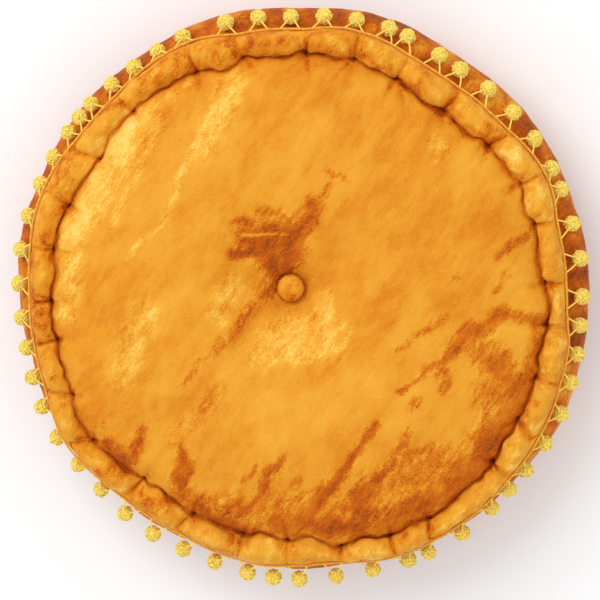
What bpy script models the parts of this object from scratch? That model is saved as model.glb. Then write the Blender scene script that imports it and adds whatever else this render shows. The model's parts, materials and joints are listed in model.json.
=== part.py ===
"""Round mattress-style floor pouf: a stuffed velvet cushion with a rolled and pinched rim, one covered
button and a pompom trim.

Blender 4.5, metres, +Z up. The pouf lies on its underside, and the origin is at the middle of that face.
Angles are in degrees, counter-clockwise from +X, seen from above.
"""

import bisect
import math

import bmesh
import bpy
from mathutils import Matrix, Vector

MM = 0.001
PIECE_GAP = 0.35 * MM
WELD_DISTANCE = 0.01 * MM

# Covered button, a little off the middle as it was sewn
BUTTON_CENTRE = Vector((-5 * MM, 11 * MM, 0))
BUTTON_SEAT_HEIGHT = 84 * MM
BUTTON_RADIUS = 11.4 * MM
BUTTON_THICKNESS = 9 * MM
BUTTON_STEPS = 24
BUTTON_SECTION = (
    # share_of_radius, share_of_thickness
    (0, 1),
    (0.45, 0.93),
    (0.78, 0.76),
    (0.96, 0.54),
    (1, 0.38),
    (0.86, 0.12),
    (0.7, 0),
    (0, 0),
)

# The crown, from the middle of the button's dimple out to where it falls to the rim
CROWN_SECTION = (
    # radius_mm, height_mm
    (0, 84),
    (9.5, 84),
    (12.8, 86),
    (18, 90.5),
    (30, 95.5),
    (54, 101.5),
    (92, 106.2),
    (130, 107),
    (163, 103.8),
)

# The crown's edge and the rolled rim. A row lies a share of the way from the groove to the seam, and out_mm
# further. Each lobe lifts it by lobe_mm, and each pinch draws it down and in. A crease draws it down as well,
# by crease_mm for all of the crease's reach beyond crease_from.
RIM_SECTION = (
    # share, out_mm, height_mm, lobe_mm, pinch_down_mm, pinch_in_mm, crease_mm, crease_from
    (0, -13, 99.5, 0, 2.5, 0, 0, 0),
    (0, -4.5, 93.5, 0, 4, 0, 0, 0),
    (0, 0, 85, 0, 3.5, 0, 0, 0),
    (0, 1.2, 92.5, 0, 3.5, 0, 0, 0),
    (0.27, 0, 96.2, 1.6, 1.2, 0, 6, 0),
    (0.52, 0, 98, 1.6, 1.2, 0, 6, 0),
    (0.82, 0, 95.4, 0, 0, 0, 7, 0.3),
    (1, 0, 88, 0, 0, 0.4, 0, 0),
    (1, -2.2, 81, 0, 0, 0.4, 0, 0),
    (1, -7, 76.5, 0, 0, 2.2, 0, 0),
)
GROOVE_ROW = len(CROWN_SECTION) + 2
SEAM_ROW = len(CROWN_SECTION) + 7
STITCH_ROW = SEAM_ROW + 2

# The side band, measured in from its widest radius
WALL_RADIUS = 233.5 * MM
WALL_SECTION = (
    # in_mm, height_mm, pinch_in_mm
    (12.5, 71, 1.1),
    (4.5, 62.5, 0),
    (0, 48, 0),
    (4, 34, 0),
)
WALL_FOLLOWS_SEAM = 0.3
WALL_SWELL = 1.1 * MM
WALL_SWELLS_ROUND = 11

# The plain lower roll and the underside
LOWER_SECTION = (
    # radius_mm, height_mm
    (211, 21),
    (217, 10),
    (210, 0),
    (199, 4.5),
    (188, 0),
    (0, 0),
)

# The wandering lines of stitches
SEAM_MEAN_RADIUS = 217.5 * MM
PINCH_WIDTH_DEG = 1.5
PINCH_FLANK_DEG = 1.35
LEAN_WIDTH_DEG = 4
LOBE_ROUNDNESS = 0.7
TOP_ROWS_OFF_CENTRE = 8

# Pompom trim
POMPOM_COUNT = 56
POMPOM_RADIUS = 6.4 * MM
POMPOM_SIDES = 8
POMPOM_RINGS = 5
POMPOM_TURN_DEG = 37
POMPOM_HEIGHT = 74 * MM
POMPOM_SEARCH_STEP = 0.1 * MM
HEADING_RADIUS = 1.1 * MM
LEG_RADIUS = 0.95 * MM
LEG_SIDES = 3
LEG_SPREAD_DEG = 2.05
LEG_SHARE_OF_GAP = 0.42
LEG_ENDS_APART = 0.35 * POMPOM_RADIUS

# One row for each stitch that pinches the rim: where it is, how far out the groove runs there, where the
# fullest part of the lobe after it is and how far out the groove runs there, how far over the roll its crease
# reaches (0 to 1), and how many degrees the crease's outer end leans.
PINCHES = (
    # angle, groove_mm, lobe_angle, lobe_groove_mm, crease_reach, lean_deg
    (5.0, 199.1, 9.0, 194.3, 0.45, 0.0),
    (19.0, 200.0, 23.0, 195.3, 0.70, -1.0),
    (28.5, 202.5, 33.0, 197.7, 0.20, 0.0),
    (40.0, 198.4, 46.0, 191.6, 0.90, -1.0),
    (53.5, 193.0, 58.0, 189.8, 0.90, -1.0),
    (66.5, 196.0, 71.0, 195.8, 0.70, -1.0),
    (77.0, 199.3, 82.0, 197.5, 0.45, 0.0),
    (88.0, 199.7, 93.5, 196.3, 0.40, 0.0),
    (102.5, 199.5, 106.0, 193.4, 0.50, 1.0),
    (113.5, 200.2, 118.0, 200.9, 0.35, 0.0),
    (131.0, 201.1, 138.0, 198.4, 0.20, 0.0),
    (144.5, 195.7, 150.0, 195.5, 0.80, 1.7),
    (157.7, 199.3, 162.0, 200.7, 0.60, -1.7),
    (168.7, 201.3, 173.0, 196.4, 0.30, 0.0),
    (180.6, 199.4, 185.0, 198.9, 0.50, 0.0),
    (190.0, 199.7, 197.0, 197.4, 0.40, 0.0),
    (203.5, 200.3, 209.0, 202.3, 0.60, -4.0),
    (215.0, 203.1, 222.0, 197.6, 0.80, -3.0),
    (229.6, 194.5, 236.0, 190.6, 1.00, -0.7),
    (244.3, 195.6, 250.0, 193.3, 1.00, -2.7),
    (257.0, 197.5, 261.5, 191.3, 0.50, 0.0),
    (267.7, 196.3, 272.5, 191.7, 0.60, 0.0),
    (280.0, 203.2, 286.0, 198.2, 0.30, 0.0),
    (291.5, 205.3, 297.0, 200.4, 0.20, 0.0),
    (301.5, 205.7, 310.0, 202.0, 0.80, -2.7),
    (321.0, 203.3, 327.0, 199.3, 1.00, -1.0),
    (332.6, 201.0, 337.5, 199.7, 1.00, -3.0),
    (343.0, 200.9, 349.0, 197.1, 0.40, 0.0),
    (355.5, 200.5, 359.0, 202.1, 0.30, 0.0),
)

# How far the outer seam of the rolled rim, which carries the trim, wanders in and out.
SEAM_WANDER = (
    # angle, radius_mm
    (0, 213.4),
    (14, 214.3),
    (28, 221.4),
    (46, 214.3),
    (58, 213.0),
    (79, 220.3),
    (90, 216.3),
    (101, 217.1),
    (113, 223.0),
    (138, 217.0),
    (158, 221.5),
    (180, 215.8),
    (196, 215.9),
    (213, 221.8),
    (228, 215.6),
    (240, 213.5),
    (262, 217.4),
    (276, 214.3),
    (294, 221.8),
    (330, 220.7),
    (350, 218.0),
)

# The trim was sewn on by eye: how far a pompom lies ahead of its even place, with the ones between in line.
POMPOM_DRIFT = (
    # pompom, ahead_deg
    (0, 1.3),
    (1, 2.6),
    (3, 4.3),
    (4, 2.4),
    (8, 3.9),
    (9, 2.6),
    (10, 3.5),
    (11, 1.1),
    (16, 1.9),
    (17, 4.5),
    (21, 2.0),
    (22, -0.9),
    (23, -3.5),
    (25, -4.3),
    (29, -1.9),
    (32, -2.2),
    (40, 2.3),
    (42, 0.1),
    (45, 3.5),
    (46, 1.4),
    (48, 4.3),
    (50, 1.9),
    (53, 2.9),
    (56, 1.3),
)


def clear_scene():
    """Removes what the scene starts with, and returns the pouf's own collection."""
    for thing in list(bpy.data.objects):
        bpy.data.objects.remove(thing)
    collection = bpy.data.collections.new("floor_pouf")
    bpy.context.scene.collection.children.link(collection)
    return collection


def fabric(name, colour, roughness):
    """A plain cloth material of one colour."""
    material = bpy.data.materials.new(name)
    material.use_nodes = True
    shader = material.node_tree.nodes["Principled BSDF"]
    shader.inputs["Base Color"].default_value = (*colour, 1)
    shader.inputs["Roughness"].default_value = roughness
    shader.inputs["Metallic"].default_value = 0
    return material


def add_object(collection, name, data, material):
    """A named object with its material."""
    thing = bpy.data.objects.new(name, data)
    collection.objects.link(thing)
    thing.data.materials.append(material)
    return thing


def as_mesh(thing, name):
    """The evaluated mesh of an object, with coincident points welded. The object is removed."""
    bpy.context.view_layer.update()
    graph = bpy.context.evaluated_depsgraph_get()
    mesh = bpy.data.meshes.new_from_object(thing.evaluated_get(graph))
    mesh.transform(thing.matrix_world)
    mesh.name = name
    bpy.data.objects.remove(thing)
    welded = bmesh.new()
    welded.from_mesh(mesh)
    bmesh.ops.remove_doubles(welded, verts=welded.verts, dist=WELD_DISTANCE)
    welded.to_mesh(mesh)
    welded.free()
    return mesh


def turn(profile, steps, name):
    """The closed mesh of a profile of (radius, height) points turned round the Z axis."""
    outline = bmesh.new()
    points = [outline.verts.new((radius, 0, height)) for radius, height in profile]
    for first, second in zip(points, points[1:]):
        outline.edges.new((first, second))
    blank = bpy.data.meshes.new(name)
    outline.to_mesh(blank)
    outline.free()
    thing = bpy.data.objects.new(name, blank)
    bpy.context.scene.collection.objects.link(thing)
    screw = thing.modifiers.new("turn", "SCREW")
    screw.steps = screw.render_steps = steps
    screw.use_merge_vertices = True
    screw.merge_threshold = WELD_DISTANCE
    return as_mesh(thing, name)


def place(angle_deg, radius, height):
    """The point at an angle, a distance from the axis and a height."""
    angle = math.radians(angle_deg)
    return Vector((radius * math.cos(angle), radius * math.sin(angle), height))


def eased(share):
    """A share from 0 to 1 that starts and ends gently."""
    return share * share * (3 - 2 * share)


def between(rows, angle_deg):
    """The two rows of a table of (angle, value) that an angle lies between, and the share of the way."""
    angles = [row[0] for row in rows]
    after = bisect.bisect_right(angles, angle_deg % 360) % len(rows)
    low, high = rows[after - 1], rows[after]
    span = (high[0] - low[0]) % 360
    return low, high, ((angle_deg - low[0]) % 360) / span


def wandering_radius(rows, angle_deg):
    """The radius at an angle of a line of stitches given as a table of (angle, radius_mm)."""
    low, high, share = between(rows, angle_deg)
    return (low[1] + (high[1] - low[1]) * eased(share)) * MM


GROOVE_WANDER = sorted([row[0:2] for row in PINCHES] + [row[2:4] for row in PINCHES])


def turned_by(angle_deg, from_deg):
    """The signed angle from one direction to another, from -180 to 180."""
    return (angle_deg - from_deg + 180) % 360 - 180


def pinch_at(angle_deg):
    """How strongly the nearest pinch pulls at an angle (0 to 1), and its crease's reach."""
    row = min(PINCHES, key=lambda pinch: abs(turned_by(angle_deg, pinch[0])))
    away = turned_by(angle_deg, row[0]) / PINCH_WIDTH_DEG
    return math.exp(-away * away), row[4]


def lobe_fullness(angle_deg):
    """0 at a pinch and 1 midway between two."""
    _low, _high, share = between([row[0:1] for row in PINCHES], angle_deg)
    return math.sin(math.pi * share) ** LOBE_ROUNDNESS


def rim_section(angle_deg):
    """The (radius, height) points of the crown's edge and the rolled rim at an angle."""
    pull, reach = pinch_at(angle_deg)
    lobe = lobe_fullness(angle_deg)
    groove = wandering_radius(GROOVE_WANDER, angle_deg)
    seam = wandering_radius(SEAM_WANDER, angle_deg)
    points = []
    for share, out, height, lobe_up, pinch_down, pinch_in, crease, crease_from in RIM_SECTION:
        crease_down = crease * max(0, reach - crease_from)
        radius = groove + share * (seam - groove) + (out - pull * pinch_in) * MM
        points.append((radius, (height + lobe * lobe_up - pull * (pinch_down + crease_down)) * MM))
    return points


def wall_section(angle_deg):
    """The (radius, height) points of the side band at an angle."""
    pull, _reach = pinch_at(angle_deg)
    seam = wandering_radius(SEAM_WANDER, angle_deg)
    swell = WALL_SWELL * math.sin(math.radians(WALL_SWELLS_ROUND * angle_deg))
    wall = WALL_RADIUS + WALL_FOLLOWS_SEAM * (seam - SEAM_MEAN_RADIUS) + swell
    return [(wall - (inward + pull * pinch_in) * MM, height * MM) for inward, height, pinch_in in WALL_SECTION]


def section_at(angle_deg):
    """The (radius, height) points of the cushion's cross-section at an angle, from the middle of the top,
    over the rim and down the side, to the middle of the underside."""
    crown = [(radius * MM, height * MM) for radius, height in CROWN_SECTION]
    lower = [(radius * MM, height * MM) for radius, height in LOWER_SECTION]
    return crown + rim_section(angle_deg) + wall_section(angle_deg) + lower


def line_angles():
    """The angles of the cushion's lines: one on each pinch, one close on each side of it and two across the
    lobe between."""
    angles = []
    for row, following in zip(PINCHES, PINCHES[1:] + PINCHES[:1]):
        gap = (following[0] - row[0]) % 360
        first, last = row[0] + PINCH_FLANK_DEG, row[0] + gap - PINCH_FLANK_DEG
        angles += [row[0], first, first + (last - first) / 3, first + (last - first) * 2 / 3, last]
    return angles


LINES = line_angles()


def crease_lean(angle_deg, row):
    """How many degrees a row of the roll is turned by the creases near an angle, which lean as they run out."""
    out = (row - GROOVE_ROW) / (SEAM_ROW - GROOVE_ROW)
    if not 0 < out < 1:
        return 0
    away = [turned_by(angle_deg, pinch[0]) / LEAN_WIDTH_DEG for pinch in PINCHES]
    return out * sum(pinch[5] * math.exp(-turn * turn) for pinch, turn in zip(PINCHES, away))


def cushion_point(angle_deg, row):
    """Where a row of the cross-section lies at an angle."""
    radius, height = section_at(angle_deg)[row]
    point = place(angle_deg + crease_lean(angle_deg, row), radius, height)
    if row <= TOP_ROWS_OFF_CENTRE:
        point += BUTTON_CENTRE * math.sqrt(1 - row / TOP_ROWS_OFF_CENTRE)
    return point


def build_cushion(collection, velvet):
    """The stuffed body: a turned blank, whose points are moved out and in to the pinched rim's real shape."""
    blank = section_at(LINES[2])
    mesh = turn(blank, len(LINES), "cushion")
    step = 360 / len(LINES)
    for vertex in mesh.vertices:
        at = Vector((vertex.co.xy.length, vertex.co.z))
        row = min(range(len(blank)), key=lambda n: (at - Vector(blank[n])).length)
        line = round(math.degrees(math.atan2(vertex.co.y, vertex.co.x)) / step) % len(LINES)
        vertex.co = cushion_point(LINES[line], row)
    mesh.shade_smooth()
    return add_object(collection, "cushion", mesh, velvet)


def build_button(collection, velvet):
    """The domed button, which lies in its dimple on the crown."""
    profile = []
    for radius_share, thickness_share in BUTTON_SECTION:
        height = BUTTON_SEAT_HEIGHT + PIECE_GAP + thickness_share * BUTTON_THICKNESS
        profile.append((radius_share * BUTTON_RADIUS, height))
    button = add_object(collection, "button", turn(profile, BUTTON_STEPS, "button"), velvet)
    button.data.shade_smooth()
    button.location = BUTTON_CENTRE
    return button


def pompom_angles():
    """The angle of each pompom round the rim."""
    angles = []
    for number in range(POMPOM_COUNT):
        low = max(row for row in POMPOM_DRIFT if row[0] <= number)
        high = min(row for row in POMPOM_DRIFT if row[0] > number)
        share = (number - low[0]) / (high[0] - low[0])
        ahead = low[1] + (high[1] - low[1]) * share
        angles.append(number * 360 / POMPOM_COUNT + ahead)
    return angles


def distance_to_wall(angle_deg, radius, height):
    """How far a point is from the cushion's side, in the upright plane through it and the axis."""
    at = Vector((radius, height))
    wall_rows = section_at(angle_deg)[STITCH_ROW : STITCH_ROW + len(WALL_SECTION) + 1]
    wall = [Vector(point) for point in wall_rows]
    distances = []
    for low, high in zip(wall, wall[1:]):
        along = high - low
        share = min(1, max(0, (at - low).dot(along) / along.length_squared))
        distances.append((at - low - along * share).length)
    return min(distances)


def hung_radius(angle_deg):
    """How far out a pompom hangs: clear of the side band, which it rests on."""
    needed = POMPOM_RADIUS + 2 * PIECE_GAP
    radius = WALL_RADIUS + 2 * POMPOM_RADIUS
    sides = (angle_deg - PINCH_WIDTH_DEG, angle_deg, angle_deg + PINCH_WIDTH_DEG)
    while min(distance_to_wall(side, radius, POMPOM_HEIGHT) for side in sides) > needed:
        radius -= POMPOM_SEARCH_STEP
    return radius


def heading_points():
    """The angle and place of each point that the trim's heading cord runs through, close outside the rim's
    seam."""
    points = []
    for line in LINES:
        seam = cushion_point(line, SEAM_ROW)
        point = seam + seam.xy.normalized().to_3d() * (HEADING_RADIUS + PIECE_GAP)
        points.append((math.degrees(math.atan2(point.y, point.x)) % 360, point))
    return sorted(points, key=lambda row: row[0])


def build_heading():
    """The thin cord that the pompoms hang from, as a closed tube round the rim."""
    curve = bpy.data.curves.new("heading", "CURVE")
    curve.dimensions = "3D"
    curve.bevel_depth = HEADING_RADIUS
    curve.bevel_resolution = 0
    spline = curve.splines.new("POLY")
    spline.points.add(len(LINES) - 1)
    for point, (_angle, centre) in zip(spline.points, heading_points()):
        point.co = (*centre, 1)
    spline.use_cyclic_u = True
    cord = bpy.data.objects.new("heading", curve)
    bpy.context.scene.collection.objects.link(cord)
    return as_mesh(cord, "heading")


def add_leg(hangers, start, end):
    """One leg of yarn from the heading into a pompom."""
    along = end - start
    matrix = Matrix.Translation((start + end) / 2) @ along.to_track_quat("Z", "X").to_matrix().to_4x4()
    bmesh.ops.create_cone(
        hangers,
        cap_ends=True,
        segments=LEG_SIDES,
        radius1=LEG_RADIUS,
        radius2=LEG_RADIUS,
        depth=along.length,
        matrix=matrix,
    )


def build_hangers():
    """The pompoms, each with the two legs that it hangs from, as overlapping closed shapes."""
    angles = pompom_angles()
    heading = heading_points()
    hangers = bmesh.new()
    for number, angle in enumerate(angles):
        before = (angle - angles[number - 1]) % 360
        after = (angles[(number + 1) % POMPOM_COUNT] - angle) % 360
        centre = place(angle, hung_radius(angle), POMPOM_HEIGHT)
        spin = Matrix.Rotation(math.radians(POMPOM_TURN_DEG * number), 4, "Z")
        bmesh.ops.create_uvsphere(
            hangers,
            u_segments=POMPOM_SIDES,
            v_segments=POMPOM_RINGS,
            radius=POMPOM_RADIUS,
            matrix=Matrix.Translation(centre) @ spin,
        )
        spreads = (
            -min(LEG_SPREAD_DEG, LEG_SHARE_OF_GAP * before),
            min(LEG_SPREAD_DEG, LEG_SHARE_OF_GAP * after),
        )
        for spread in spreads:
            low, high, share = between(heading, angle + spread)
            root = low[1].lerp(high[1], share)
            add_leg(hangers, root, centre + (root - centre).normalized() * LEG_ENDS_APART)
    mesh = bpy.data.meshes.new("hangers")
    hangers.to_mesh(mesh)
    hangers.free()
    return mesh


def build_trim(collection, yarn):
    """The pompom trim: its heading with every leg and pompom fused to it."""
    trim = add_object(collection, "pompom_trim", build_heading(), yarn)
    helpers = bpy.data.collections.new("cutters")
    bpy.context.scene.collection.children.link(helpers)
    hangers = add_object(helpers, "hangers", build_hangers(), yarn)
    hangers.hide_render = True
    hangers.display_type = "WIRE"
    union = trim.modifiers.new("fuse the hangers", "BOOLEAN")
    union.operation = "UNION"
    union.object = hangers
    union.use_self = True
    return trim


def build_pouf():
    """The whole pouf."""
    collection = clear_scene()
    velvet = fabric("gold crushed velvet", (0.83, 0.37, 0.035), 0.75)
    yarn = fabric("pale yellow yarn", (0.95, 0.62, 0.10), 0.9)
    build_cushion(collection, velvet)
    build_button(collection, velvet)
    build_trim(collection, yarn)


build_pouf()
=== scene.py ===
"""The looks of a round floor pouf: crushed gold velvet over a stuffed form, a pinched and rolled rim, one
covered button and a yarn pompom trim, on a pale studio floor.

Metres, +Z up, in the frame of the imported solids. Angles in names ending in _deg are degrees, counter-clockwise
from +X, seen from above.
"""

import json
import logging
import math
from collections.abc import Iterator, Sequence
from dataclasses import dataclass, field
from enum import Enum

import bmesh
import bpy
import numpy as np
from mathutils import Matrix, Vector, noise
from mathutils.kdtree import KDTree

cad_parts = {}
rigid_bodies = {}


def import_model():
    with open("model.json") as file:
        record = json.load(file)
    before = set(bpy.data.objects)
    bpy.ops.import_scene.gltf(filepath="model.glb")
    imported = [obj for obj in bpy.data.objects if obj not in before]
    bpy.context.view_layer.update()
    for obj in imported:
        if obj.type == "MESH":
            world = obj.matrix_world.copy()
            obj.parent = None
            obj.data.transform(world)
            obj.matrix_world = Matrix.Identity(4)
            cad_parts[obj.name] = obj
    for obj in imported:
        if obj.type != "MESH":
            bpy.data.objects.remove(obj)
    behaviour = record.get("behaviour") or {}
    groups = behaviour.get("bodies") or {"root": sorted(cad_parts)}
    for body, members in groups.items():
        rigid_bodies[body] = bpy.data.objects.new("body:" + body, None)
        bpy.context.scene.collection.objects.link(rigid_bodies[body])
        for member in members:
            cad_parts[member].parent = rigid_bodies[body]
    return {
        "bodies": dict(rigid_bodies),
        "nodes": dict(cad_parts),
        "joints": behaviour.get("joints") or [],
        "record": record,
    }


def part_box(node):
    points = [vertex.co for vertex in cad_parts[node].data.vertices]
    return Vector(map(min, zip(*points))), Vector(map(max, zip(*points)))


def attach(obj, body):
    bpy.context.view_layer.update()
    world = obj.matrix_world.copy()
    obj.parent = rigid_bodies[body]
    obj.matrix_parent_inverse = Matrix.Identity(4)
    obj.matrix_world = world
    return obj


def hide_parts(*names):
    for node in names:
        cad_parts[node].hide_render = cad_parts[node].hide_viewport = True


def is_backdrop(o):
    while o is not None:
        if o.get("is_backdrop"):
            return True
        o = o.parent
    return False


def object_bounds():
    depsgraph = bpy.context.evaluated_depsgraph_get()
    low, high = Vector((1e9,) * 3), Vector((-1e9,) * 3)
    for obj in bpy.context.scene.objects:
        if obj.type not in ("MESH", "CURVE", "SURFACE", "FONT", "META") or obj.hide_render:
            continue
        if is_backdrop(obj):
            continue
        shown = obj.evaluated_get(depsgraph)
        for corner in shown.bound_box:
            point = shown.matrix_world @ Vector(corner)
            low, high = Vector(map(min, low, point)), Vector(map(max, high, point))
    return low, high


MM = 0.001
# Points nearer than this are one point.
SAME_PLACE = 0.02 * MM
# The way that the velvet's pile is drawn out.
NAP_DEG = 52.0
BODY = "root"
LOG = logging.getLogger("floor_pouf")

Colour = tuple[float, float, float]
Faces = list[tuple[int, ...]]
Socket = bpy.types.NodeSocket


class Slot(Enum):
    """The record's material slots."""

    VELVET = "velvet"
    YARN = "yarn"


class Row(Enum):
    """The rows of the cushion's solid, counted from the middle of its top, that something is sewn along."""

    GROOVE = 11
    SEAM = 16
    UNDER_STITCH = 18
    LOWER_STITCH = 23


def linear(colour: tuple[int, int, int]) -> Colour:
    """Turns an 8-bit display colour into linear light.

    Args:
        colour: Red, green and blue from 0 to 255.

    Returns:
        Linear red, green and blue.
    """
    shares = [value / 255 for value in colour]
    return tuple(s / 12.92 if s <= 0.04045 else ((s + 0.055) / 1.055) ** 2.4 for s in shares)


def eased(share: np.ndarray) -> np.ndarray:
    """Returns shares, held from 0 to 1, that start and end gently."""
    held = np.clip(share, 0, 1)
    return held * held * (3 - 2 * held)


def unit(vectors: np.ndarray) -> np.ndarray:
    """Returns vectors of length 1."""
    return vectors / np.maximum(np.linalg.norm(vectors, axis=-1, keepdims=True), 1e-12)


def past(rows: np.ndarray, row: Row, offset: float = 0.0, over: float = 1.0) -> np.ndarray:
    """Says which points lie past a sewn row.

    Args:
        rows: The place of each point among the solid's rows.
        row: The sewn row.
        offset: How many rows further on the change starts.
        over: How many rows the change takes.

    Returns:
        0 before the change and 1 after it.
    """
    return eased((rows - row.value - offset) / over)


def tree_of(points: np.ndarray) -> KDTree:
    """Returns a search tree of points."""
    tree = KDTree(len(points))
    for number, point in enumerate(points):
        tree.insert(point, number)
    tree.balance()
    return tree


@dataclass(frozen=True)
class Ripple:
    """Smooth unevenness of a shape: how strong it is, the size of its lumps in metres, and what sets it apart."""

    strength: float
    size: float
    seed: float

    def at(self, points: np.ndarray) -> np.ndarray:
        """Returns the unevenness at points, from about minus to plus its strength."""
        shift = Vector((self.seed, 1.7 * self.seed, -0.6 * self.seed))
        return self.strength * np.array([noise.noise(Vector(point) / self.size + shift) for point in points])


def new_piece(name: str, vertices: np.ndarray, faces: Sequence[Sequence[int]]) -> bpy.types.Object:
    """Makes a smooth piece from points and faces.

    Args:
        name: The piece's name.
        vertices: Points, one a row.
        faces: The points of each face, in order.

    Returns:
        The new object, which sits at the origin.
    """
    mesh = bpy.data.meshes.new(name)
    mesh.from_pydata(vertices.tolist(), [], faces)
    mesh.validate()
    mesh.shade_smooth()
    piece = bpy.data.objects.new(name, mesh)
    bpy.context.scene.collection.objects.link(piece)
    return piece


def select_only(piece: bpy.types.Object) -> None:
    """Makes a piece the only selected and the active one."""
    bpy.ops.object.select_all(action="DESELECT")
    piece.select_set(True)
    bpy.context.view_layer.objects.active = piece


def set_attribute(piece: bpy.types.Object, name: str, values: np.ndarray) -> None:
    """Gives a piece's points a named number each."""
    attribute = piece.data.attributes.new(name, "FLOAT", "POINT")
    attribute.data.foreach_set("value", values.astype(np.float32))


@dataclass(frozen=True)
class Grain:
    """One size of unevenness in a finish: noise that is drawn out along one direction.

    The size is in metres, the share is how far it shifts the shade, and detail and roughness are the number and
    the strength of its finer layers.
    """

    size: float
    share: float = 0.0
    stretch: float = 1.0
    turn_deg: float = 0.0
    detail: float = 3.0
    roughness: float = 0.6


class NodeGraph:
    """A material's nodes, added and linked a call at a time."""

    # Nearly all the values of a noise texture lie between these.
    NOISE_RANGE = (0.32, 0.68)

    def __init__(self, name: str) -> None:
        """Starts a material with one Principled shader.

        Args:
            name: The material's name.
        """
        self.material = bpy.data.materials.new(name)
        self.material.use_nodes = True
        self.nodes = self.material.node_tree.nodes
        self.links = self.material.node_tree.links
        self.shader = self.nodes["Principled BSDF"]

    def set(self, **values: object) -> None:
        """Sets the shader's sockets; an underscore in a name stands for a space."""
        for name, value in values.items():
            self.shader.inputs[name.replace("_", " ")].default_value = value

    def feed(self, source: Socket, name: str) -> None:
        """Links a socket to one of the shader's."""
        self.links.new(source, self.shader.inputs[name])

    def attribute(self, name: str) -> Socket:
        """Returns the value of a mesh attribute."""
        node = self.nodes.new("ShaderNodeAttribute")
        node.attribute_name = name
        return node.outputs["Fac"]

    def grain(self, grain: Grain) -> Socket:
        """Adds a noise texture that reads object coordinates.

        Args:
            grain: The unevenness that it shows.

        Returns:
            Its value, from 0 to 1.
        """
        source = self.nodes.new("ShaderNodeTexCoord")
        mapping = self.nodes.new("ShaderNodeMapping")
        mapping.vector_type = "TEXTURE"
        mapping.inputs["Rotation"].default_value = (0, 0, math.radians(grain.turn_deg))
        mapping.inputs["Scale"].default_value = (grain.stretch, 1, 1)
        node = self.nodes.new("ShaderNodeTexNoise")
        node.inputs["Scale"].default_value = 1 / grain.size
        node.inputs["Detail"].default_value = grain.detail
        node.inputs["Roughness"].default_value = grain.roughness
        self.links.new(source.outputs["Object"], mapping.inputs["Vector"])
        self.links.new(mapping.outputs["Vector"], node.inputs["Vector"])
        return node.outputs["Fac"]

    def calculate(self, operation: str, first: object, second: object = 0.0, third: object = 0.0) -> Socket:
        """Adds a Math node.

        Args:
            operation: Blender's name of the operation.
            first: A socket or a number.
            second: A socket or a number.
            third: A socket or a number.

        Returns:
            Its result.
        """
        node = self.nodes.new("ShaderNodeMath")
        node.operation = operation
        for place, value in enumerate((first, second, third)):
            if isinstance(value, Socket):
                self.links.new(value, node.inputs[place])
            else:
                node.inputs[place].default_value = value
        return node.outputs["Value"]

    def shifted(self, value: Socket | float, noises: Sequence[tuple[Socket, float]]) -> Socket:
        """Adds noises to a value.

        Args:
            value: The value.
            noises: Each noise, and how far it may shift the value up or down.

        Returns:
            The shifted value.
        """
        for texture, strength in noises:
            value = self.calculate("ADD", value, self.between(texture, *self.NOISE_RANGE, -strength, strength))
        return value

    def between(self, value: Socket, low: float, high: float, start: float = 0.0, end: float = 1.0) -> Socket:
        """Returns a value's place between low and high, eased and held, as a number from start to end."""
        node = self.nodes.new("ShaderNodeMapRange")
        node.interpolation_type = "SMOOTHSTEP"
        self.links.new(value, node.inputs["Value"])
        for name, limit in (("From Min", low), ("From Max", high), ("To Min", start), ("To Max", end)):
            node.inputs[name].default_value = limit
        return node.outputs["Result"]

    def ramp(self, value: Socket, stops: Sequence[tuple[float, Colour]]) -> Socket:
        """Turns a value into a colour.

        Args:
            value: A value from 0 to 1.
            stops: The place and the linear colour of each stop.

        Returns:
            The colour.
        """
        node = self.nodes.new("ShaderNodeValToRGB")
        elements = node.color_ramp.elements
        elements[0].position, elements[0].color = stops[0][0], (*stops[0][1], 1)
        elements[1].position, elements[1].color = stops[-1][0], (*stops[-1][1], 1)
        for position, colour in stops[1:-1]:
            elements.new(position).color = (*colour, 1)
        self.links.new(value, node.inputs["Fac"])
        return node.outputs["Color"]

    def bump(self, height: Socket, depth: float, under: Socket | None = None) -> Socket:
        """Raises the surface by a height.

        Args:
            height: The height, from 0 to 1.
            depth: How many metres a height of 1 is.
            under: Another bump that this one lies on.

        Returns:
            The normal.
        """
        node = self.nodes.new("ShaderNodeBump")
        node.inputs["Strength"].default_value = 1
        node.inputs["Distance"].default_value = depth
        self.links.new(height, node.inputs["Height"])
        if under is not None:
            self.links.new(under, node.inputs["Normal"])
        return node.outputs["Normal"]


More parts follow.
